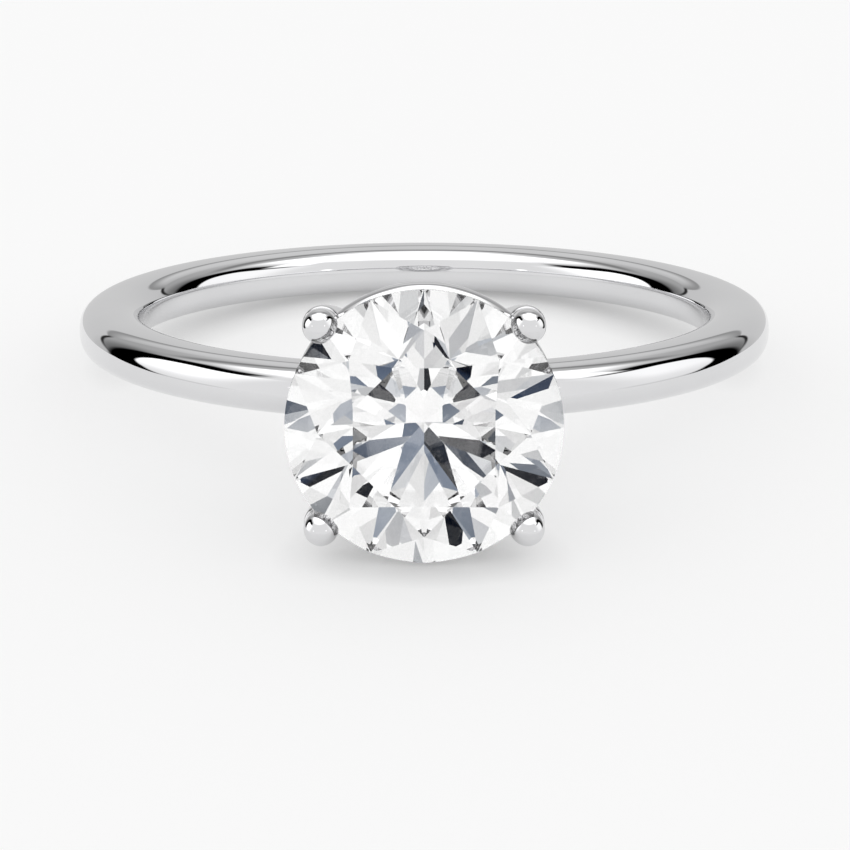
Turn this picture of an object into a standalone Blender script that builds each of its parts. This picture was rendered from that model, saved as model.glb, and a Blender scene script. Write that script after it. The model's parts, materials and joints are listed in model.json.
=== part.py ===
"""Solitaire engagement ring: a plain comfort-fit band, a four-prong basket head and a round brilliant.

Metres, +Z up. The ring lies on its side with the head towards -Y, tipped up because it rests on the
rear of the band and on the head's upper rail. The origin is under the middle of its box.
"""

import math

import bmesh
import bpy
from mathutils import Matrix, Vector

MM = 0.001
TURN = math.tau

# Band: finger size US 6. Its section is a superellipse, so that it bulges inside and out with soft
# shoulders: an exponent of 2 is a plain ellipse and a larger one is squarer.
FINGER_BORE = 16.51 * MM
BAND_THICKNESS = 1.83 * MM
BAND_WIDTH = 1.46 * MM
BAND_SQUARENESS = 2.55

# Round brilliant. Fractions are of its diameter or, for the facet lengths, of the run they cover.
STONE_DIAMETER = 7.28 * MM
TABLE_WIDTH = 0.545
CROWN_ANGLE = math.radians(35.7)
PAVILION_ANGLE = math.radians(40.6)
STAR_LENGTH = 0.505
LOWER_HALF_LENGTH = 0.797
GIRDLE_THICKNESS = 0.22 * MM

# Head. Heights run outwards from the finger's axis, along the head's own axis.
GIRDLE_HEIGHT = 13.34 * MM
RAIL_WIRE = 0.77 * MM
UPPER_RAIL_HEIGHT = 11.88 * MM
UPPER_RAIL_OUTER = 7.12 * MM
LOWER_RAIL_HEIGHT = 10.08 * MM
LOWER_RAIL_OUTER = 5.28 * MM

# Prongs: tapered round wire, its end cupped into a dome above a small shoulder. Each leg leans out
# from the base and is bent more upright past the seat.
TIP_RADIUS = 0.462 * MM
SHOULDER_RADIUS = 0.513 * MM
FOOT_RADIUS = 0.41 * MM
TIP_ABOVE_GIRDLE = 0.14 * MM
TIP_FROM_AXIS = 3.807 * MM
NECK_LENGTH = 0.32 * MM
SHOULDER_LENGTH = 0.14 * MM
TIP_LEAN = math.radians(7.5)
LEG_LEAN = math.radians(21)
BEND_START = 0.60 * MM
BEND_LENGTH = 1.00 * MM
FOOT_BELOW_RAIL = 0.05 * MM

# Solder and setting gap left between neighbours that touch.
SEAT_GAP = 0.02 * MM

# Facets of the round pieces.
BAND_STEPS = 96
BAND_SIDES = 20
RAIL_STEPS = 48
RAIL_SIDES = 12
PRONG_SIDES = 20
DOME_STEPS = 6
SHOULDER_STEPS = 3
LEG_STEPS = 10
GIRDLE_STEPS = 96
SHARP_ANGLE = math.radians(40)
TILT_STEP = 1e-9
WELD = 1e-7

SYMMETRY = 8
PRONGS = {
    "prong_upper_right": 1,
    "prong_upper_left": 3,
    "prong_lower_left": 5,
    "prong_lower_right": 7,
}

band_radius = (FINGER_BORE + BAND_THICKNESS) / 2
rail_radius = RAIL_WIRE / 2
upper_rail_spine = UPPER_RAIL_OUTER / 2 - rail_radius
lower_rail_spine = LOWER_RAIL_OUTER / 2 - rail_radius
stone_radius = STONE_DIAMETER / 2
tip_height = GIRDLE_HEIGHT + TIP_ABOVE_GIRDLE
foot_height = LOWER_RAIL_HEIGHT - rail_radius - FOOT_BELOW_RAIL


def clear_scene():
    for obj in list(bpy.data.objects):
        bpy.data.objects.remove(obj, do_unlink=True)


def metal(name, colour, roughness):
    material = bpy.data.materials.new(name)
    material.use_nodes = True
    shader = material.node_tree.nodes["Principled BSDF"]
    shader.inputs["Base Color"].default_value = (*colour, 1)
    shader.inputs["Metallic"].default_value = 1.0
    shader.inputs["Roughness"].default_value = roughness
    return material


def diamond_material():
    material = bpy.data.materials.new("diamond")
    material.use_nodes = True
    shader = material.node_tree.nodes["Principled BSDF"]
    shader.inputs["Base Color"].default_value = (1, 1, 1, 1)
    shader.inputs["Metallic"].default_value = 0.0
    shader.inputs["Roughness"].default_value = 0.0
    shader.inputs["IOR"].default_value = 2.417
    shader.inputs["Transmission Weight"].default_value = 1.0
    return material


def empty(name, parent=None):
    obj = bpy.data.objects.new(name, None)
    bpy.context.collection.objects.link(obj)
    obj.parent = parent
    return obj


def add_piece(name, bm, parent, material):
    """A named solid made from bm, which is freed. Edges sharper than SHARP_ANGLE stay sharp."""
    bmesh.ops.remove_doubles(bm, verts=bm.verts, dist=WELD)
    bmesh.ops.recalc_face_normals(bm, faces=bm.faces)
    mesh = bpy.data.meshes.new(name)
    bm.to_mesh(mesh)
    bm.free()
    mesh.shade_smooth()
    mesh.set_sharp_from_angle(angle=SHARP_ANGLE)
    mesh.materials.append(material)
    obj = bpy.data.objects.new(name, mesh)
    bpy.context.collection.objects.link(obj)
    obj.parent = parent
    return obj


def make_cutter(obj):
    obj.hide_render = True
    obj.display_type = "WIRE"
    return obj


def cut(piece, cutter):
    boolean = piece.modifiers.new("cut_" + cutter.name, "BOOLEAN")
    boolean.operation = "DIFFERENCE"
    boolean.object = cutter


def on_circle(radius, eighths, height):
    """A point at this radius and height, turned by eighths of a circle."""
    angle = eighths * TURN / SYMMETRY
    return Vector((radius * math.cos(angle), radius * math.sin(angle), height))


def round_section(radius, sides, phase=0.0):
    """(out, along) points round a wire. phase turns them, so that a corner lies at a contact."""
    angles = [phase + side * TURN / sides for side in range(sides)]
    return [(radius * math.cos(angle), radius * math.sin(angle)) for angle in angles]


def band_section(grow=0.0):
    """(out, along) points round the band's superellipse, its half sizes grown by grow."""
    power = 2 / BAND_SQUARENESS
    out = BAND_THICKNESS / 2 + grow
    along = BAND_WIDTH / 2 + grow
    points = []
    for cosine, sine in round_section(1, BAND_SIDES):
        across = math.copysign(abs(cosine) ** power, cosine)
        aside = math.copysign(abs(sine) ** power, sine)
        points.append((out * across, along * aside))
    return points


def ring_of(section, spine, steps):
    """A ring about Z whose section stands at the radius spine."""
    bm = bmesh.new()
    corners = [bm.verts.new((spine + out, 0, along)) for out, along in section]
    for start, end in zip(corners, corners[1:] + corners[:1]):
        bm.edges.new((start, end))
    bmesh.ops.spin(
        bm, geom=bm.verts[:] + bm.edges[:], cent=(0, 0, 0), axis=(0, 0, 1),
        angle=TURN, steps=steps, use_merge=True,
    )
    return bm


# ---- Rest pose ---------------------------------------------------------------------------------


def band_depth(tilt):
    """How far the rear of the band goes below the finger's middle at this tilt."""
    return max((band_radius + out) * math.sin(tilt) + along * math.cos(tilt) for out, along in band_section())


def rail_depth(tilt):
    """How far the upper rail goes below the finger's middle at this tilt."""
    return upper_rail_spine * math.cos(tilt) + rail_radius - UPPER_RAIL_HEIGHT * math.sin(tilt)


def resting_tilt():
    """Angle that lifts the head until the rear of the band and the upper rail touch one plane."""
    low, high = 0.0, TURN / 8
    while high - low > TILT_STEP:
        middle = (low + high) / 2
        if rail_depth(middle) > band_depth(middle):
            low = middle
        else:
            high = middle
    return (low + high) / 2


def place_ring(tilt):
    """Empty that carries the whole ring: its Z is the finger's axis and its -Y points at the head."""
    frame = empty("ring_frame")
    frame.rotation_euler.x = -tilt
    corner = on_circle(stone_radius * TABLE_WIDTH, -1.5, GIRDLE_HEIGHT + crown_height())
    front = -corner.z * math.cos(tilt) + corner.y * math.sin(tilt)
    reaches = [(band_radius + out) * math.cos(tilt) + along * math.sin(tilt) for out, along in band_section()]
    frame.location.y = -(front + max(reaches)) / 2
    frame.location.z = band_depth(tilt)
    return frame


# ---- Round brilliant ---------------------------------------------------------------------------


def crown_height():
    return GIRDLE_THICKNESS / 2 + stone_radius * (1 - TABLE_WIDTH) * math.tan(CROWN_ANGLE)


def facet_points():
    """Three points on each facet of one eighth of the stone, about its girdle's centre.

    Main facets lie between the prongs' directions, half an eighth from the star facets.
    """
    hill = GIRDLE_THICKNESS / 2
    half = math.cos(TURN / SYMMETRY / 2)
    table_corner = stone_radius * TABLE_WIDTH
    table_flat = table_corner * half
    star_reach = table_flat + STAR_LENGTH * (stone_radius - table_flat)
    star_height = hill + (stone_radius - star_reach * half) * math.tan(CROWN_ANGLE)
    low_reach = stone_radius * (1 - LOWER_HALF_LENGTH)
    low_height = -hill - (stone_radius - low_reach * half) * math.tan(PAVILION_ANGLE)

    corners = [on_circle(table_corner, side, crown_height()) for side in (-0.5, 0.5)]
    star_tips = [on_circle(star_reach, side, star_height) for side in (0, 1)]
    low_tips = [on_circle(low_reach, side, low_height) for side in (0, 1)]
    crown_main = [star_tips[0], on_circle(stone_radius, 0.5, hill), star_tips[1]]
    pavilion_main = [low_tips[0], on_circle(stone_radius, 0.5, -hill), low_tips[1]]
    star = [corners[0], star_tips[0], corners[1]]
    halves = []
    for tip, edge in ((star_tips[0], hill), (low_tips[0], -hill)):
        for side in (-0.5, 0.5):
            on_girdle = [on_circle(stone_radius, turn, edge) for turn in (0, side)]
            halves.append([tip, *on_girdle])
    return [crown_main, pavilion_main, star, *halves]


def grind(bm, points, grow):
    """One flat facet through three points, moved out by grow and capped."""
    normal = (points[1] - points[0]).cross(points[2] - points[0]).normalized()
    if normal.dot(points[0]) < 0:
        normal.negate()
    shape = bm.verts[:] + bm.edges[:] + bm.faces[:]
    sliced = bmesh.ops.bisect_plane(
        bm, geom=shape, dist=WELD, plane_co=points[0] + normal * grow, plane_no=normal, clear_outer=True
    )
    rim = [item for item in sliced["geom_cut"] if isinstance(item, bmesh.types.BMEdge)]
    bmesh.ops.edgeloop_fill(bm, edges=rim)


def brilliant(grow=0.0):
    """The cut stone with its girdle plane at Z=0, or its outline moved out by grow."""
    bm = bmesh.new()
    radius = stone_radius + grow
    bmesh.ops.create_cone(
        bm, cap_ends=True, segments=GIRDLE_STEPS, radius1=radius, radius2=radius, depth=STONE_DIAMETER,
        matrix=Matrix.Rotation(TURN / SYMMETRY / 2, 4, "Z"),
    )
    table = [on_circle(stone_radius, turn, crown_height()) for turn in (0, 3, 6)]
    grind(bm, table, grow)
    for eighth in range(SYMMETRY):
        turned = Matrix.Rotation(eighth * TURN / SYMMETRY, 4, "Z")
        for facet in facet_points():
            grind(bm, [turned @ point for point in facet], grow)
    return bm


# ---- Prongs ------------------------------------------------------------------------------------


def prong_profile(grow):
    """(radius, height) from the tip of the dome down to the foot."""
    tip = TIP_RADIUS + grow
    profile = []
    for step in range(DOME_STEPS + 1):
        angle = step / DOME_STEPS * TURN / 4
        profile.append((tip * math.sin(angle), tip_height + tip * math.cos(angle)))
    for step in range(SHOULDER_STEPS + 1):
        angle = step / SHOULDER_STEPS * TURN / 4
        radius = tip + (SHOULDER_RADIUS - TIP_RADIUS) * math.sin(angle)
        drop = NECK_LENGTH + SHOULDER_LENGTH * (1 - math.cos(angle)) - grow
        profile.append((radius, tip_height - drop))
    shoulder = profile[-1][1]
    end = foot_height - grow
    for step in range(1, LEG_STEPS + 1):
        share = step / LEG_STEPS
        radius = SHOULDER_RADIUS + (FOOT_RADIUS - SHOULDER_RADIUS) * share
        profile.append((radius + grow, shoulder + (end - shoulder) * share))
    profile.append((0, end))
    return profile


def leg_offset(height):
    """How far the prong's axis is from the head's axis at this height."""
    below = tip_height - height
    past_bend = max(below - BEND_START, 0)
    bent = min(past_bend, BEND_LENGTH)
    straight = past_bend - bent
    leg_lean = math.tan(LEG_LEAN) - math.tan(TIP_LEAN)
    lean_in = math.tan(TIP_LEAN) * below + leg_lean * (bent * bent / BEND_LENGTH / 2 + straight)
    return TIP_FROM_AXIS - lean_in


def prong(grow=0.0):
    """A turned prong, leaned over and standing at the head's +X side."""
    bm = bmesh.new()
    points = [bm.verts.new((radius, 0, height)) for radius, height in prong_profile(grow)]
    for upper, lower in zip(points, points[1:]):
        bm.edges.new((upper, lower))
    bmesh.ops.spin(
        bm, geom=bm.verts[:] + bm.edges[:], cent=(0, 0, 0), axis=(0, 0, 1),
        angle=TURN, steps=PRONG_SIDES, use_merge=True,
    )
    for vert in bm.verts:
        vert.co.x += leg_offset(vert.co.z)
    return bm


# ---- Assembly ----------------------------------------------------------------------------------


def build():
    clear_scene()
    band_metal = metal("band_white_gold", (0.86, 0.86, 0.87), 0.06)
    head_metal = metal("head_white_gold", (0.88, 0.88, 0.89), 0.04)
    tilt = resting_tilt()
    ring = place_ring(tilt)
    head = empty("head_frame", ring)
    head.rotation_euler.x = math.pi / 2

    add_piece("band", ring_of(band_section(), band_radius, BAND_STEPS), ring, band_metal)

    diamond = add_piece("diamond", brilliant(), head, diamond_material())
    diamond.location.z = GIRDLE_HEIGHT
    diamond.data.shade_flat()
    seat = make_cutter(add_piece("stone_seat_cutter", brilliant(SEAT_GAP), head, head_metal))
    seat.location.z = GIRDLE_HEIGHT

    prong_cutters = []
    for name, eighths in PRONGS.items():
        piece = add_piece(name, prong(), head, head_metal)
        piece.rotation_euler.z = eighths * TURN / SYMMETRY
        cut(piece, seat)
        cutter = make_cutter(add_piece(name + "_cutter", prong(SEAT_GAP), head, head_metal))
        cutter.rotation_euler.z = piece.rotation_euler.z
        prong_cutters.append(cutter)

    upper = ring_of(round_section(rail_radius, RAIL_SIDES, -tilt), upper_rail_spine, RAIL_STEPS)
    upper_rail = add_piece("upper_gallery_rail", upper, head, head_metal)
    upper_rail.location.z = UPPER_RAIL_HEIGHT
    lower = ring_of(round_section(rail_radius, RAIL_SIDES), lower_rail_spine, RAIL_STEPS)
    lower_rail = add_piece("lower_gallery_rail", lower, head, head_metal)
    lower_rail.location.z = LOWER_RAIL_HEIGHT
    for cutter in prong_cutters:
        cut(upper_rail, cutter)
        cut(lower_rail, cutter)
    saddle = ring_of(band_section(SEAT_GAP), band_radius, BAND_STEPS)
    cut(lower_rail, make_cutter(add_piece("saddle_cutter", saddle, ring, head_metal)))


build()
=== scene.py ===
"""Looks of the solitaire engagement ring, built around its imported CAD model. Metres, +Z up."""

import json
import math

import bmesh
import bpy
from mathutils import Matrix, Vector


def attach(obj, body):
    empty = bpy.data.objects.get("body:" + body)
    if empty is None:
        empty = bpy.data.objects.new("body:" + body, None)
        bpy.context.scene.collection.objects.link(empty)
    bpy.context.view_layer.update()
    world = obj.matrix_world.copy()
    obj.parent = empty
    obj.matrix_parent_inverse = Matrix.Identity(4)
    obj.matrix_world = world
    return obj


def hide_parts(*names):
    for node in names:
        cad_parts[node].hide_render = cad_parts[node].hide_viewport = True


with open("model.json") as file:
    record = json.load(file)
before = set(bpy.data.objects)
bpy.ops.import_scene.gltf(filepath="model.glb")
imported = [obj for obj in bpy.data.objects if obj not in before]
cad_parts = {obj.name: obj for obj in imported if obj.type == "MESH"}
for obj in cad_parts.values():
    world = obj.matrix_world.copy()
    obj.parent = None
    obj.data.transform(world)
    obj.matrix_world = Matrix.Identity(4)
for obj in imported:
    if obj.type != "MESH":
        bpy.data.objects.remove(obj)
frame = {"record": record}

MM = 0.001
TURN = math.tau
SYMMETRY = 8

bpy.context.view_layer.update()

# The ring's own frame comes from the record: the bore's centre and axis.
mounts = {mount["name"]: mount for mount in frame["record"]["mounts"]}
bore = mounts["finger_bore"]
ring_centre = Vector(bore["pos_m"])
finger_axis = Vector(bore["axis"])
tilt = math.atan2(finger_axis.y, finger_axis.z)

# Band and stone.
BAND_THICKNESS = 1.83 * MM
BAND_SQUARENESS = 2.55
STONE_DIAMETER = 7.28 * MM
TABLE_WIDTH = 0.545
CROWN_ANGLE = math.radians(35.7)
PAVILION_ANGLE = math.radians(40.6)
STAR_LENGTH = 0.505
LOWER_HALF_LENGTH = 0.797
GIRDLE_THICKNESS = 0.22 * MM

# Head.
GIRDLE_HEIGHT = 13.34 * MM
RAIL_WIRE = 0.77 * MM
UPPER_RAIL_HEIGHT = 11.88 * MM
UPPER_RAIL_OUTER = 7.12 * MM
LOWER_RAIL_HEIGHT = 10.08 * MM
LOWER_RAIL_OUTER = 5.28 * MM

# Prongs.
TIP_RADIUS = 0.462 * MM
SHOULDER_RADIUS = 0.513 * MM
FOOT_RADIUS = 0.41 * MM
TIP_ABOVE_GIRDLE = 0.14 * MM
TIP_FROM_AXIS = 3.807 * MM
NECK_LENGTH = 0.32 * MM
SHOULDER_LENGTH = 0.14 * MM
TIP_LEAN = math.radians(7.5)
LEG_LEAN = math.radians(21)
BEND_START = 0.60 * MM
BEND_LENGTH = 1.00 * MM
FOOT_BELOW_RAIL = 0.05 * MM
SEAT_GAP = 0.02 * MM

# Smoothness of the round pieces.
BAND_STEPS = 320
BAND_SIDES = 64
RAIL_STEPS = 144
RAIL_SIDES = 28
PRONG_SIDES = 56
DOME_STEPS = 20
SHOULDER_STEPS = 8
LEG_STEPS = 36
GIRDLE_STEPS = 192
SHARP_ANGLE = math.radians(35)
WELD = 1e-8

# Polish of the metal. Scales are per metre.
METAL_COLOUR = (0.76, 0.76, 0.77)
BAND_GRAIN = 1.0
HEAD_GRAIN = 1.6
TONE_SCALE = 260
TONE_DETAIL = 3
TONE_EDGES = (0.3, 0.7)
TONE_DARKER = 0.98
TONE_LIGHTER = 1.02
MARKS_SCALE = 2600
MARKS_DETAIL = 4
MARKS_EDGES = (0.35, 0.75)
ROUGHNESS_RANGE = (0.012, 0.035)
MARKS_STRENGTH = 0.03
MARKS_DEPTH = 0.002 * MM
DIAMOND_INDEX = 2.417

PRONGS = {
    "prong_upper_right": 1,
    "prong_upper_left": 3,
    "prong_lower_left": 5,
    "prong_lower_right": 7,
}

band_width = bore["dims"]["length_mm"] * MM
band_radius = bore["dims"]["r_mm"] * MM + BAND_THICKNESS / 2
rail_radius = RAIL_WIRE / 2
upper_rail_spine = UPPER_RAIL_OUTER / 2 - rail_radius
lower_rail_spine = LOWER_RAIL_OUTER / 2 - rail_radius
stone_radius = STONE_DIAMETER / 2
tip_height = GIRDLE_HEIGHT + TIP_ABOVE_GIRDLE
foot_height = LOWER_RAIL_HEIGHT - rail_radius - FOOT_BELOW_RAIL

ring_matrix = Matrix.Translation(ring_centre) @ Matrix.Rotation(-tilt, 4, "X")
head_matrix = ring_matrix @ Matrix.Rotation(math.pi / 2, 4, "X")


# ---- Studio settings ---------------------------------------------------------------------------

MAX_BOUNCES = 32
STAGE_RADIUS = 0.5
BACKDROP_LEVEL = 0.955
REFLECTED_FLOOR_RADIUS = 20 * MM
PAPER_DROP = 0.02 * MM
# How far out the skin sits that paints the stone's outside reflections black.
PAINTED_REFLECTION_SKIN_GAP = 0.004 * MM

# Camera, in the ring's own frame.
CAMERA_LENS = 165.02
CAMERA_SENSOR = 36
CAMERA_CLIP = (0.005, 20)
CAMERA_PLACE = (0.0227 * MM, -112.17 * MM, 22.86 * MM)
CAMERA_DOWN = math.radians(13.0)

# Floor. A painted contact shadow dims its glow near things: the contact level is the share of its glow that
# is left right under something.
PAPER_COLOUR = (0.45, 0.45, 0.45, 1)
FLOOR_GLOW = 0.50
REFLECTED_FLOOR_GLOW = 0.46
PAINTED_SHADOW_REACH = 1.3 * MM
PAINTED_SHADOW_GLOW = 0.55
PAINTED_SHADOW_SAMPLES = 6

# Everything below is a direction in degrees or a level of light, where 1 is white. Height is measured up
# from the horizon. Turn is 0 in front of the ring and 90 to its right, and side is turn without its sign.
# A pair is the two ends of a soft edge. A panel is its turn, height, half width and half height.
FLOOR_EXPOSURE = 1.035
FLOOR_LIGHT_LOW = 1.3
FLOOR_LIGHT_HIGH = 0.5
FLOOR_LIGHT_EDGE = (0, 80)
FLOOR_PANEL = (0, 40, 90, 40)
FLOOR_PANEL_LEVEL = 0.3

TENT_LEVEL = 0.93
TENT_BELOW_LEVEL = 0.80
TENT_BELOW_EDGE = (-15, -70)
OVERHEAD_LEVEL = 1.9
OVERHEAD_EDGE = (44, 62)

REAR_SIDE_EDGE = (118, 138)
REAR_BOTTOM_EDGE = (-45, -15)
REAR_SIDE_LEVEL = 0.51
REAR_MIDDLE_LEVEL = 0.74
REAR_MIDDLE_EDGE = (145, 172)
REAR_LOW_LEVEL = 0.68
REAR_LOW_EDGE = (16.5, 14.5)
HEM_LEVEL = 0.34
HEM_BOTTOM_EDGE = (14.5, 16)
HEM_TOP_EDGE = (23, 16)
HEM_SIDE_EDGE = (138, 148)
ROOF_LEVEL = 1.8
ROOF_EDGE = (56, 76)
SEAM_LEVEL = 0.26
SEAM_START = (140, 44)
SEAM_SLOPE = 0.3
SEAM_EDGE = (9, 0)

# The crease is a slanting line through a point, given as (side, height), with its normal.
CREASE_POINT = (122, -13)
CREASE_NORMAL = (0.779, -0.628)
CREASE_LEVEL = 0.03
CREASE_EDGE = (2.2, 0.5)
CREASE_BOTTOM_EDGE = (-12, 6)
CREASE_TOP_EDGE = (19, 15)
WALL_LEVELS = (0.20, 0.44)
WALL_SHADE_EDGE = (120, 144)
WALL_CREASE_EDGE = (1.0, -1.0)
WALL_SIDE_EDGE = (100, 112)
WALL_BOTTOM_EDGE = (-15, -8)
WALL_FADE_EDGE = (44, 20)
WALL_TOP_EDGE = (66, 50)

# Boxes are their nearest and farthest side, bottom and top height, and corner radius.
FLAG_BOX = (50, 125, -60, 45, 24)
FLAG_CORE = (-3, 2)
FLAG_CORE_SHARE = 0.72
FLAG_HALO = (-19, 0)
FLAG_HALO_SHARE = 0.28
FLAG_FRONT_EDGE = (60, 74)
FLAG_BOTTOM_EDGE = (-14, -9)
FLAG_DROP = 6
FLAG_DROP_EDGE = (90, 108)
WINDOW_LEVEL = 1.6
WINDOW_FRONT_EDGE = (56, 64)
WINDOW_BACK_EDGE = (90, 80)
WINDOW_BOTTOM_EDGE = (34, 42)
WINDOW_TOP_EDGE = (70, 58)
SOFTBOX = (40, 109, -12, 33, 14)
SOFTBOX_EDGE = (-1.0, 1.2)
SOFTBOX_LEFT_LEVEL = 1.6
SOFTBOX_RIGHT_LEVEL = 1.25
SOFTBOX_LOW_LEVEL = 0.96
SOFTBOX_LOW_EDGE = (-14, 10)
SOFTBOX_FADE_EDGE = (55, 82)
SOFTBOX_FADE_PIVOT = 10
SOFTBOX_FADE_SLANT = 0.35
LAMP_PANELS = ((-42, 8, 2.2, 2.2), (42, 8, 2.2, 2.2))
LAMP_LEVEL = 1.5

# Panels that the stone's facets pick up, each with what it adds to the light.
STONE_BASE = 1.45
STONE_PANELS = (
    (9, 10, 31, 12, -0.73),
    (-61, 13, 27, 28, -0.93),
    (17, 67, 48, 8, -1.56),
    (11, 28, 10, 14, -0.66),
    (-4, 8, 28, 3, -0.72),
    (2, 13, 6, 13, 0.39),
    (-1, -31, 32, 3, 1.30),
    (-16, 17, 4, 14, 0.41),
    (-59, 24, 9, 14, 0.80),
    (17, 36, 38, 11, -0.18),
    (20, 66, 8, 7, 0.72),
    (28, 7, 4, 9, 0.58),
    (40, 11, 30, 11, -0.29),
    (-48, 39, 5, 7, -0.93),
    (35, -33, 12, 9, -0.39),
    (-21, 43, 10, 3, -0.80),
    (114, 13, 42, 13, 0.69),
    (14, 53, 5, 6, -0.46),
    (-37, 21, 4, 13, -1.58),
    (12, 1, 4, 8, -0.35),
)
STONE_RIPPLE = 0.8
STONE_RIPPLE_SCALE = 7
STONE_RIPPLE_DETAIL = 2
STONE_BLACK_POINT = 0.10
STONE_LEAST = 0.001
STONE_CURVE = 0.68
STONE_GAIN = 1.18
STONE_LOSS = 0.85
STONE_LOSS_DEPTHS = (4.5, 8.5)
HUE_SCALE = 4
HUE_EDGES = (0.40, 0.60)
RED_POWERS = (0.14, 0.48)
GREEN_POWERS = (0.08, 0.28)


# ---- Node helpers ------------------------------------------------------------------------------


class Nodes:
    """Short calls for building one node tree."""

    def __init__(self, tree):
        self.tree = tree

    def new(self, kind, **settings):
        node = self.tree.nodes.new(kind)
        for name, value in settings.items():
            setattr(node, name, value)
        return node

    def put(self, socket, value):
        if isinstance(value, bpy.types.NodeSocket):
            self.tree.links.new(value, socket)
        else:
            socket.default_value = value

    def math(self, operation, *values):
        node = self.new("ShaderNodeMath", operation=operation)
        for socket, value in zip(node.inputs, values):
            self.put(socket, value)
        return node.outputs[0]

    def add(self, a, b):
        return self.math("ADD", a, b)

    def sub(self, a, b):
        return self.math("SUBTRACT", a, b)

    def mul(self, a, b):
        return self.math("MULTIPLY", a, b)

    def step(self, value, low, high):
        """0 below low, 1 above high and smooth between; low may be the greater."""
        node = self.new("ShaderNodeMapRange", interpolation_type="SMOOTHSTEP")
        for name, given in (("Value", value), ("From Min", low), ("From Max", high)):
            self.put(node.inputs[name], given)
        return node.outputs["Result"]

    def mix(self, share, a, b):
        """a where share is 0 and b where it is 1."""
        return self.add(a, self.mul(share, self.sub(b, a)))


# ---- Materials ---------------------------------------------------------------------------------


def polished_metal(name, grain):
    """Mirror-polished metal with faint buffing marks and a trace of uneven polish."""
    material = bpy.data.materials.new(name)
    material.use_nodes = True
    tree = material.node_tree
    make = Nodes(tree)
    shader = tree.nodes["Principled BSDF"]
    where = make.new("ShaderNodeTexCoord").outputs["Object"]

    def noise(scale, detail):
        node = make.new("ShaderNodeTexNoise")
        make.put(node.inputs["Vector"], where)
        node.inputs["Scale"].default_value = scale * grain
        node.inputs["Detail"].default_value = detail
        return node.outputs["Fac"]

    uneven = noise(TONE_SCALE, TONE_DETAIL)
    marks = noise(MARKS_SCALE, MARKS_DETAIL)
    shader.inputs["Metallic"].default_value = 1.0
    tone = make.new("ShaderNodeMix", data_type="RGBA")
    make.put(tone.inputs["Factor"], make.step(uneven, *TONE_EDGES))
    tone.inputs["A"].default_value = (*[channel * TONE_DARKER for channel in METAL_COLOUR], 1)
    tone.inputs["B"].default_value = (*[channel * TONE_LIGHTER for channel in METAL_COLOUR], 1)
    make.put(shader.inputs["Base Color"], tone.outputs["Result"])
    make.put(shader.inputs["Roughness"], make.mix(make.step(marks, *MARKS_EDGES), *ROUGHNESS_RANGE))
    bump = make.new("ShaderNodeBump")
    bump.inputs["Strength"].default_value = MARKS_STRENGTH
    bump.inputs["Distance"].default_value = MARKS_DEPTH
    make.put(bump.inputs["Height"], marks)
    make.put(shader.inputs["Normal"], bump.outputs["Normal"])
    return material


def diamond_material():
    material = bpy.data.materials.new("diamond_facets")
    material.use_nodes = True
    shader = material.node_tree.nodes["Principled BSDF"]
    shader.inputs["Base Color"].default_value = (1, 1, 1, 1)
    shader.inputs["Roughness"].default_value = 0.0
    shader.inputs["IOR"].default_value = DIAMOND_INDEX
    shader.inputs["Transmission Weight"].default_value = 1.0
    return material


# ---- Shapes ------------------------------------------------------------------------------------


def add_piece(name, bm, place, materials):
    bmesh.ops.remove_doubles(bm, verts=bm.verts, dist=WELD)
    bmesh.ops.recalc_face_normals(bm, faces=bm.faces)
    mesh = bpy.data.meshes.new(name)
    bm.to_mesh(mesh)
    bm.free()
    for material in materials:
        mesh.materials.append(material)
    obj = bpy.data.objects.new(name, mesh)
    bpy.context.scene.collection.objects.link(obj)
    mesh.transform(place)
    mesh.shade_smooth()
    mesh.set_sharp_from_angle(angle=SHARP_ANGLE)
    return obj


def apply_modifiers(obj):
    graph = bpy.context.evaluated_depsgraph_get()
    mesh = bpy.data.meshes.new_from_object(obj.evaluated_get(graph))
    old = obj.data
    obj.modifiers.clear()
    obj.data = mesh
    bpy.data.meshes.remove(old)


def cut(piece, cutter):
    boolean = piece.modifiers.new("cut", "BOOLEAN")
    boolean.operation = "DIFFERENCE"
    boolean.solver = "EXACT"
    boolean.object = cutter


def on_circle(radius, eighths, height):
    angle = eighths * TURN / SYMMETRY
    return Vector((radius * math.cos(angle), radius * math.sin(angle), height))


def rounded_section(out, along, squareness, sides):
    """(out, along) points round a superellipse with these half sizes."""
    points = []
    for side in range(sides):
        cosine, sine = math.cos(side * TURN / sides), math.sin(side * TURN / sides)
        across = math.copysign(abs(cosine) ** (2 / squareness), cosine)
        aside = math.copysign(abs(sine) ** (2 / squareness), sine)
        points.append((out * across, along * aside))
    return points


def ring_of(section, spine, steps):
    """A ring about Z whose section stands at the radius spine."""
    bm = bmesh.new()
    corners = [bm.verts.new((spine + out, 0, along)) for out, along in section]
    for start, end in zip(corners, corners[1:] + corners[:1]):
        bm.edges.new((start, end))
    bmesh.ops.spin(
        bm, geom=bm.verts[:] + bm.edges[:], cent=(0, 0, 0), axis=(0, 0, 1),
        angle=TURN, steps=steps, use_merge=True,
    )
    return bm


def crown_height():
    return GIRDLE_THICKNESS / 2 + stone_radius * (1 - TABLE_WIDTH) * math.tan(CROWN_ANGLE)


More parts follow.
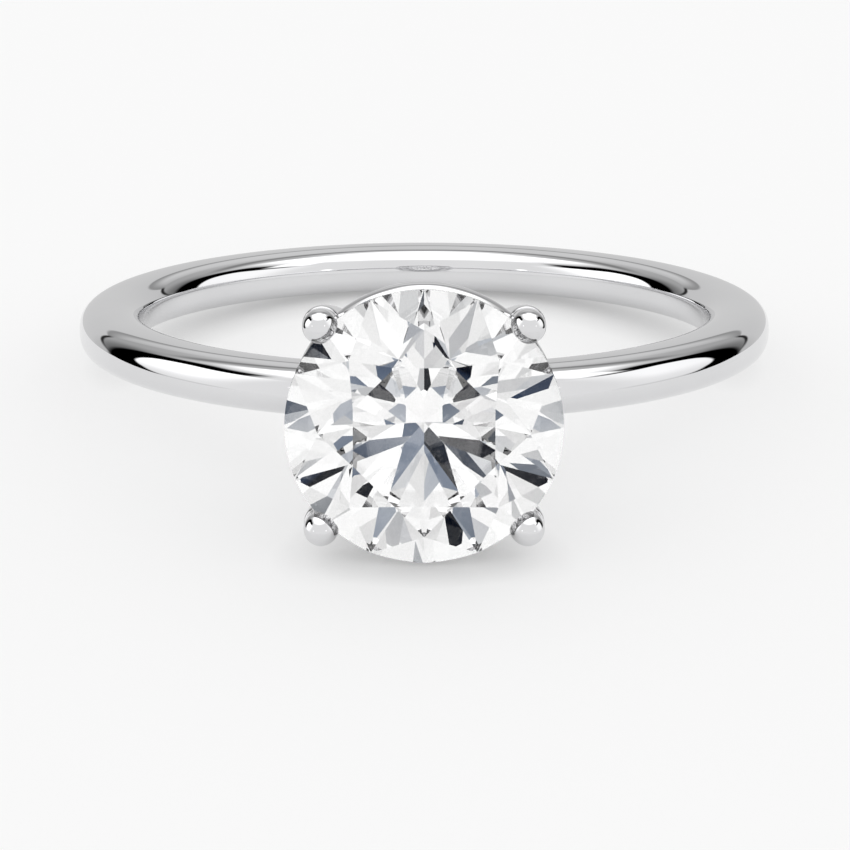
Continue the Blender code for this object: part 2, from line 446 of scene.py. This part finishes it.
def facet_points():
    """Three points on each facet of one eighth of the stone, about its girdle's centre."""
    hill = GIRDLE_THICKNESS / 2
    half = math.cos(TURN / SYMMETRY / 2)
    table_corner = stone_radius * TABLE_WIDTH
    table_flat = table_corner * half
    star_reach = table_flat + STAR_LENGTH * (stone_radius - table_flat)
    star_height = hill + (stone_radius - star_reach * half) * math.tan(CROWN_ANGLE)
    low_reach = stone_radius * (1 - LOWER_HALF_LENGTH)
    low_height = -hill - (stone_radius - low_reach * half) * math.tan(PAVILION_ANGLE)

    corners = [on_circle(table_corner, side, crown_height()) for side in (-0.5, 0.5)]
    star_tips = [on_circle(star_reach, side, star_height) for side in (0, 1)]
    low_tips = [on_circle(low_reach, side, low_height) for side in (0, 1)]
    crown_main = [star_tips[0], on_circle(stone_radius, 0.5, hill), star_tips[1]]
    pavilion_main = [low_tips[0], on_circle(stone_radius, 0.5, -hill), low_tips[1]]
    star = [corners[0], star_tips[0], corners[1]]
    halves = []
    for tip, edge in ((star_tips[0], hill), (low_tips[0], -hill)):
        for side in (-0.5, 0.5):
            on_girdle = [on_circle(stone_radius, turn, edge) for turn in (0, side)]
            halves.append([tip, *on_girdle])
    return [crown_main, pavilion_main, star, *halves]


def grind(bm, points, grow):
    """One flat facet through three points, moved out by grow and capped."""
    normal = (points[1] - points[0]).cross(points[2] - points[0]).normalized()
    if normal.dot(points[0]) < 0:
        normal.negate()
    shape = bm.verts[:] + bm.edges[:] + bm.faces[:]
    sliced = bmesh.ops.bisect_plane(
        bm, geom=shape, dist=WELD, plane_co=points[0] + normal * grow, plane_no=normal, clear_outer=True
    )
    rim = [item for item in sliced["geom_cut"] if isinstance(item, bmesh.types.BMEdge)]
    bmesh.ops.edgeloop_fill(bm, edges=rim)


def brilliant(grow=0.0):
    """The cut stone with its girdle plane at Z=0, or its outline moved out by grow."""
    bm = bmesh.new()
    radius = stone_radius + grow
    bmesh.ops.create_cone(
        bm, cap_ends=True, segments=GIRDLE_STEPS, radius1=radius, radius2=radius, depth=STONE_DIAMETER,
        matrix=Matrix.Rotation(TURN / SYMMETRY / 2, 4, "Z"),
    )
    table = [on_circle(stone_radius, turn, crown_height()) for turn in (0, 3, 6)]
    grind(bm, table, grow)
    for eighth in range(SYMMETRY):
        turned = Matrix.Rotation(eighth * TURN / SYMMETRY, 4, "Z")
        for facet in facet_points():
            grind(bm, [turned @ point for point in facet], grow)
    return bm


def prong_profile():
    """(radius, height) from the tip of the dome down to the foot."""
    profile = []
    for step in range(DOME_STEPS + 1):
        angle = step / DOME_STEPS * TURN / 4
        profile.append((TIP_RADIUS * math.sin(angle), tip_height + TIP_RADIUS * math.cos(angle)))
    for step in range(SHOULDER_STEPS + 1):
        angle = step / SHOULDER_STEPS * TURN / 4
        radius = TIP_RADIUS + (SHOULDER_RADIUS - TIP_RADIUS) * math.sin(angle)
        drop = NECK_LENGTH + SHOULDER_LENGTH * (1 - math.cos(angle))
        profile.append((radius, tip_height - drop))
    shoulder = profile[-1][1]
    for step in range(1, LEG_STEPS + 1):
        share = step / LEG_STEPS
        radius = SHOULDER_RADIUS + (FOOT_RADIUS - SHOULDER_RADIUS) * share
        profile.append((radius, shoulder + (foot_height - shoulder) * share))
    profile.append((0, foot_height))
    return profile


def leg_offset(height):
    """How far the prong's axis is from the head's axis at this height."""
    below = tip_height - height
    past_bend = max(below - BEND_START, 0)
    bent = min(past_bend, BEND_LENGTH)
    straight = past_bend - bent
    leg_lean = math.tan(LEG_LEAN) - math.tan(TIP_LEAN)
    lean_in = math.tan(TIP_LEAN) * below + leg_lean * (bent * bent / BEND_LENGTH / 2 + straight)
    return TIP_FROM_AXIS - lean_in


def prong():
    bm = bmesh.new()
    points = [bm.verts.new((radius, 0, height)) for radius, height in prong_profile()]
    for upper, lower in zip(points, points[1:]):
        bm.edges.new((upper, lower))
    bmesh.ops.spin(
        bm, geom=bm.verts[:] + bm.edges[:], cent=(0, 0, 0), axis=(0, 0, 1),
        angle=TURN, steps=PRONG_SIDES, use_merge=True,
    )
    for vert in bm.verts:
        vert.co.x += leg_offset(vert.co.z)
    return bm


def finish_piece(piece, node):
    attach(piece, "root")
    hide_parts(node)


# ---- Pieces ------------------------------------------------------------------------------------

band_metal = polished_metal("band_polished_metal", BAND_GRAIN)
head_metal = polished_metal("head_polished_metal", HEAD_GRAIN)
facets = diamond_material()

band_outline = rounded_section(BAND_THICKNESS / 2, band_width / 2, BAND_SQUARENESS, BAND_SIDES)
band_ring = ring_of(band_outline, band_radius, BAND_STEPS)
band = add_piece("comfort_fit_shank", band_ring, ring_matrix, [band_metal])
finish_piece(band, "band")

at_girdle = head_matrix @ Matrix.Translation((0, 0, GIRDLE_HEIGHT))
stone = add_piece("round_brilliant", brilliant(), at_girdle, [facets])
stone.data.shade_flat()
finish_piece(stone, "diamond")

seat = add_piece("seat_cutter", brilliant(SEAT_GAP), at_girdle, [head_metal])
for name, eighths in PRONGS.items():
    place = head_matrix @ Matrix.Rotation(eighths * TURN / SYMMETRY, 4, "Z")
    piece = add_piece(name.replace("prong", "claw"), prong(), place, [head_metal])
    cut(piece, seat)
    apply_modifiers(piece)
    piece.data.shade_smooth()
    piece.data.set_sharp_from_angle(angle=SHARP_ANGLE)
    finish_piece(piece, name)
bpy.data.objects.remove(seat)

wire_outline = rounded_section(rail_radius, rail_radius, 2, RAIL_SIDES)
for node, spine, height in (
    ("upper_gallery_rail", upper_rail_spine, UPPER_RAIL_HEIGHT),
    ("lower_gallery_rail", lower_rail_spine, LOWER_RAIL_HEIGHT),
):
    rail = add_piece(
        node.replace("gallery_rail", "gallery_wire"), ring_of(wire_outline, spine, RAIL_STEPS),
        head_matrix @ Matrix.Translation((0, 0, height)), [head_metal],
    )
    finish_piece(rail, node)


# ---- Studio ------------------------------------------------------------------------------------

scene = bpy.context.scene
scene.view_settings.view_transform = "Standard"
scene.view_settings.look = "None"
scene.cycles.max_bounces = MAX_BOUNCES
scene.cycles.glossy_bounces = MAX_BOUNCES
scene.cycles.transmission_bounces = MAX_BOUNCES


class Sky:
    """Elevation and azimuth of the world's light, in degrees, and shapes measured in them."""

    def __init__(self, make):
        self.make = make
        split = make.new("ShaderNodeSeparateXYZ")
        self.direction = make.new("ShaderNodeTexCoord").outputs["Generated"]
        make.put(split.inputs[0], self.direction)
        x, y, z = split.outputs
        self.height = make.mul(make.math("ARCSINE", z), 360 / TURN)
        self.turn = make.mul(make.math("ARCTAN2", x, make.mul(y, -1)), 360 / TURN)
        self.side = make.math("ABSOLUTE", self.turn)
        self.right = make.step(x, -0.02, 0.02)

    def rounded_box(self, low, high, bottom, top, corner):
        """Signed distance from a box that spans these sides and heights, positive inside."""
        make = self.make
        half_width, half_height = (high - low) / 2, (top - bottom) / 2
        from_side = make.math("ABSOLUTE", make.sub(self.side, (low + high) / 2))
        from_height = make.math("ABSOLUTE", make.sub(self.height, (bottom + top) / 2))
        across = make.sub(from_side, half_width - corner)
        along = make.sub(from_height, half_height - corner)
        outside_x = make.math("MAXIMUM", across, 0)
        outside_y = make.math("MAXIMUM", along, 0)
        outside = make.math("SQRT", make.add(make.mul(outside_x, outside_x), make.mul(outside_y, outside_y)))
        inside = make.math("MINIMUM", make.math("MAXIMUM", across, along), 0)
        return make.sub(corner, make.add(outside, inside))

    def panel(self, turn, height, half_width, half_height):
        """1 inside a soft-edged panel, fading to 0 outside."""
        make = self.make
        away = make.math("ABSOLUTE", make.sub(self.turn, turn))
        away = make.math("MINIMUM", away, make.sub(360, away))
        across = make.math("POWER", make.mul(away, 1 / half_width), 4)
        up = make.math("ABSOLUTE", make.mul(make.sub(self.height, height), 1 / half_height))
        along = make.math("POWER", up, 4)
        return make.math("EXPONENT", make.mul(make.add(across, along), -1))


def tent_light(make, sky):
    """The tent all round, dimmer behind the ring, with a darker fold over a hem and a seam under its roof."""
    side, height = sky.side, sky.height
    light = make.mix(make.step(height, *TENT_BELOW_EDGE), TENT_LEVEL, TENT_BELOW_LEVEL)
    light = make.mix(make.step(height, *OVERHEAD_EDGE), light, OVERHEAD_LEVEL)
    rear = make.mix(make.step(side, *REAR_MIDDLE_EDGE), REAR_SIDE_LEVEL, REAR_MIDDLE_LEVEL)
    rear = make.mix(make.step(height, *REAR_LOW_EDGE), rear, REAR_LOW_LEVEL)
    hem = make.mul(make.step(height, *HEM_BOTTOM_EDGE), make.step(height, *HEM_TOP_EDGE))
    rear = make.mix(make.mul(hem, make.step(side, *HEM_SIDE_EDGE)), rear, HEM_LEVEL)
    rear = make.mix(make.step(height, *ROOF_EDGE), rear, ROOF_LEVEL)
    seam_side, seam_height = SEAM_START
    seam = make.sub(height, make.add(seam_height, make.mul(make.sub(side, seam_side), SEAM_SLOPE)))
    rear = make.mix(make.step(make.math("ABSOLUTE", seam), *SEAM_EDGE), rear, SEAM_LEVEL)
    behind = make.mul(make.step(side, *REAR_SIDE_EDGE), make.step(height, *REAR_BOTTOM_EDGE))
    return make.mix(behind, light, rear)


def with_wall(make, sky, light):
    """A grey wall at each side that ends at a slanting black crease."""
    side, height = sky.side, sky.height
    along_side = make.mul(make.sub(side, CREASE_POINT[0]), CREASE_NORMAL[0])
    along_height = make.mul(make.sub(height, CREASE_POINT[1]), CREASE_NORMAL[1])
    crease = make.add(along_side, along_height)
    on_wall = make.mul(make.step(height, *WALL_BOTTOM_EDGE), make.step(height, *WALL_TOP_EDGE))
    wall = make.mul(make.step(crease, *WALL_CREASE_EDGE), make.step(height, *WALL_FADE_EDGE))
    wall = make.mul(wall, make.step(side, *WALL_SIDE_EDGE))
    grey = make.mix(make.step(side, *WALL_SHADE_EDGE), *WALL_LEVELS)
    light = make.mix(make.mul(wall, on_wall), light, grey)
    line = make.step(make.math("ABSOLUTE", crease), *CREASE_EDGE)
    line = make.mul(line, make.step(height, *CREASE_BOTTOM_EDGE))
    return make.mix(make.mul(line, make.step(height, *CREASE_TOP_EDGE)), light, CREASE_LEVEL)


def with_flag(make, sky, light):
    """A black flag at each side, soft on its outer side and at its front end."""
    side, height = sky.side, sky.height
    flag = sky.rounded_box(*FLAG_BOX)
    core = make.mul(make.step(flag, *FLAG_CORE), FLAG_CORE_SHARE)
    halo = make.mul(make.step(flag, *FLAG_HALO), FLAG_HALO_SHARE)
    shade = make.mul(make.add(core, halo), make.step(side, *FLAG_FRONT_EDGE))
    dropped = make.add(height, make.mul(make.step(side, *FLAG_DROP_EDGE), FLAG_DROP))
    shade = make.mul(shade, make.step(dropped, *FLAG_BOTTOM_EDGE))
    return make.mul(light, make.sub(1, shade))


def with_softboxes(make, sky, light):
    """A bright window high on the right, and a softbox in front of each flag that fades towards the front."""
    side, height = sky.side, sky.height
    window = make.mul(make.step(side, *WINDOW_FRONT_EDGE), make.step(side, *WINDOW_BACK_EDGE))
    window = make.mul(window, sky.right)
    tall = make.mul(make.step(height, *WINDOW_BOTTOM_EDGE), make.step(height, *WINDOW_TOP_EDGE))
    light = make.mix(make.mul(window, tall), light, WINDOW_LEVEL)
    box = make.step(sky.rounded_box(*SOFTBOX), *SOFTBOX_EDGE)
    glow = make.mix(sky.right, SOFTBOX_LEFT_LEVEL, SOFTBOX_RIGHT_LEVEL)
    glow = make.mix(make.step(height, *SOFTBOX_LOW_EDGE), SOFTBOX_LOW_LEVEL, glow)
    slant = make.add(side, make.mul(make.sub(height, SOFTBOX_FADE_PIVOT), SOFTBOX_FADE_SLANT))
    glow = make.mix(make.step(slant, *SOFTBOX_FADE_EDGE), TENT_LEVEL, glow)
    return make.mix(box, light, glow)


def metal_light(make, sky):
    """What the metal reflects: the tent, the walls, flags and softboxes, and two small lamps in front."""
    light = tent_light(make, sky)
    light = with_wall(make, sky, light)
    light = with_flag(make, sky, light)
    light = with_softboxes(make, sky, light)
    for lamp in LAMP_PANELS:
        light = make.add(light, make.mul(sky.panel(*lamp), LAMP_LEVEL))
    return light


def stone_light(make, sky):
    """What the stone's facets pick up: soft panels, and a ripple so that no facet is one flat tone."""
    ripple = make.new("ShaderNodeTexNoise")
    make.put(ripple.inputs["Vector"], sky.direction)
    ripple.inputs["Scale"].default_value = STONE_RIPPLE_SCALE
    ripple.inputs["Detail"].default_value = STONE_RIPPLE_DETAIL
    light = make.add(make.mul(make.sub(ripple.outputs["Fac"], 0.5), STONE_RIPPLE), STONE_BASE)
    for *panel, change in STONE_PANELS:
        light = make.add(light, make.mul(sky.panel(*panel), change))
    # Darks go to black sooner, and half-tones are lifted.
    light = make.math("MAXIMUM", make.sub(light, STONE_BLACK_POINT), STONE_LEAST)
    return make.mul(make.math("POWER", light, STONE_CURVE), STONE_GAIN)


def stone_tint(make, sky, level):
    """Whatever is dark for the stone leans to navy, more in some directions than in others."""
    tint = make.new("ShaderNodeCombineColor")
    shade = make.math("MINIMUM", level, 1.0)
    hue = make.new("ShaderNodeTexNoise")
    make.put(hue.inputs["Vector"], sky.direction)
    hue.inputs["Scale"].default_value = HUE_SCALE
    blue = make.step(hue.outputs["Fac"], *HUE_EDGES)
    for channel, powers in (("Red", RED_POWERS), ("Green", GREEN_POWERS)):
        make.put(tint.inputs[channel], make.math("POWER", shade, make.mix(blue, *powers)))
    tint.inputs["Blue"].default_value = 1.0
    return tint.outputs[0]


def floor_light(make, sky):
    """What lights the floor: mostly low and from all sides, and a little stronger from the front."""
    light = make.mix(make.step(sky.height, *FLOOR_LIGHT_EDGE), FLOOR_LIGHT_LOW, FLOOR_LIGHT_HIGH)
    light = make.add(light, make.mul(sky.panel(*FLOOR_PANEL), FLOOR_PANEL_LEVEL))
    return make.mul(light, FLOOR_EXPOSURE)


def studio_world():
    """Light painted by direction, with its own arrangement for metal, for the stone and for the floor."""
    world = bpy.data.worlds.new("studio")
    world.use_nodes = True
    scene.world = world
    tree = world.node_tree
    make = Nodes(tree)
    sky = Sky(make)
    path = make.new("ShaderNodeLightPath")
    for_stone = path.outputs["Is Transmission Ray"]
    stone_level = stone_light(make, sky)
    # Light that has bounced about inside the stone for long counts for less.
    lost = make.mul(make.step(path.outputs["Ray Depth"], *STONE_LOSS_DEPTHS), STONE_LOSS)
    dimmed = make.mul(stone_level, make.sub(1, lost))
    level = make.mix(for_stone, metal_light(make, sky), dimmed)
    level = make.mix(path.outputs["Is Diffuse Ray"], level, floor_light(make, sky))
    colour = make.new("ShaderNodeMix", data_type="RGBA")
    make.put(colour.inputs["Factor"], for_stone)
    colour.inputs["A"].default_value = (1, 1, 1, 1)
    make.put(colour.inputs["B"], stone_tint(make, sky, stone_level))
    background = tree.nodes["Background"]
    make.put(background.inputs["Strength"], level)
    make.put(background.inputs["Color"], colour.outputs["Result"])


def floor_material(name, glow):
    """Paper that glows a little, less where something stands close over it: a painted contact shadow."""
    material = bpy.data.materials.new(name)
    material.use_nodes = True
    tree = material.node_tree
    make = Nodes(tree)
    shader = tree.nodes["Principled BSDF"]
    shader.inputs["Base Color"].default_value = PAPER_COLOUR
    shader.inputs["Roughness"].default_value = 1.0
    shader.inputs["Specular IOR Level"].default_value = 0.0
    shader.inputs["Emission Color"].default_value = (1, 1, 1, 1)
    # Painted contact shadow: ambient occlusion dims the glow under and next to things.
    painted_shadow = make.new("ShaderNodeAmbientOcclusion", samples=PAINTED_SHADOW_SAMPLES)
    painted_shadow.inputs["Distance"].default_value = PAINTED_SHADOW_REACH
    share = make.mix(painted_shadow.outputs["AO"], PAINTED_SHADOW_GLOW, 1.0)
    make.put(shader.inputs["Emission Strength"], make.mul(share, glow))
    return material


def add_floor():
    """A wide paper floor, and the small round of it that shows in the metal."""
    for name, radius, height, glow in (
        ("paper_floor", STAGE_RADIUS, -PAPER_DROP, FLOOR_GLOW),
        ("reflected_floor", REFLECTED_FLOOR_RADIUS, 0.0, REFLECTED_FLOOR_GLOW),
    ):
        bm = bmesh.new()
        bmesh.ops.create_circle(bm, cap_ends=True, segments=96, radius=radius)
        floor = add_piece(name, bm, Matrix.Translation((0, 0, height)), [floor_material(name, glow)])
        floor.visible_transmission = False
        if name == "paper_floor":
            floor.visible_glossy = False
        else:
            floor.visible_camera = False
            floor.visible_diffuse = False
            floor.visible_shadow = False


def add_painted_reflection_skin():
    """Paints the stone's outside reflections black, a painted dark reflection in place of the glare.

    Light reflected off the outside meets the back of this skin and is lost. It lets everything else by.
    """
    material = bpy.data.materials.new("painted_reflection_skin")
    material.use_nodes = True
    tree = material.node_tree
    make = Nodes(tree)
    tree.nodes.clear()
    # Painted dark reflection: the inner side of the skin is black.
    black = make.new("ShaderNodeEmission")
    black.inputs["Strength"].default_value = 0.0
    choose = make.new("ShaderNodeMixShader")
    make.put(choose.inputs[0], make.new("ShaderNodeNewGeometry").outputs["Backfacing"])
    make.put(choose.inputs[1], make.new("ShaderNodeBsdfTransparent").outputs[0])
    make.put(choose.inputs[2], black.outputs[0])
    make.put(make.new("ShaderNodeOutputMaterial").inputs["Surface"], choose.outputs[0])
    trap = add_piece("painted_reflection_skin", brilliant(PAINTED_REFLECTION_SKIN_GAP), at_girdle, [material])
    trap.data.shade_flat()
    trap.visible_camera = False
    trap.visible_diffuse = False
    trap.visible_transmission = False
    trap.visible_shadow = False


def add_backdrop():
    bm = bmesh.new()
    bmesh.ops.create_uvsphere(bm, u_segments=64, v_segments=32, radius=STAGE_RADIUS)
    material = bpy.data.materials.new("pale_backdrop")
    material.use_nodes = True
    shader = material.node_tree.nodes["Principled BSDF"]
    shader.inputs["Base Color"].default_value = (0, 0, 0, 1)
    shader.inputs["Specular IOR Level"].default_value = 0.0
    shader.inputs["Emission Color"].default_value = (1, 1, 1, 1)
    shader.inputs["Emission Strength"].default_value = BACKDROP_LEVEL
    backdrop = add_piece("pale_backdrop", bm, Matrix.Identity(4), [material])
    backdrop.visible_glossy = False
    backdrop.visible_transmission = False
    backdrop.visible_diffuse = False
    backdrop.visible_shadow = False


def add_camera():
    data = bpy.data.cameras.new("camera")
    data.lens = CAMERA_LENS
    data.sensor_width = CAMERA_SENSOR
    data.clip_start, data.clip_end = CAMERA_CLIP
    camera = bpy.data.objects.new("camera", data)
    scene.collection.objects.link(camera)
    camera.location = ring_matrix @ Vector(CAMERA_PLACE)
    camera.rotation_euler = (math.pi / 2 - CAMERA_DOWN - tilt, 0, 0)
    scene.camera = camera


studio_world()
add_floor()
add_painted_reflection_skin()
add_backdrop()
add_camera()
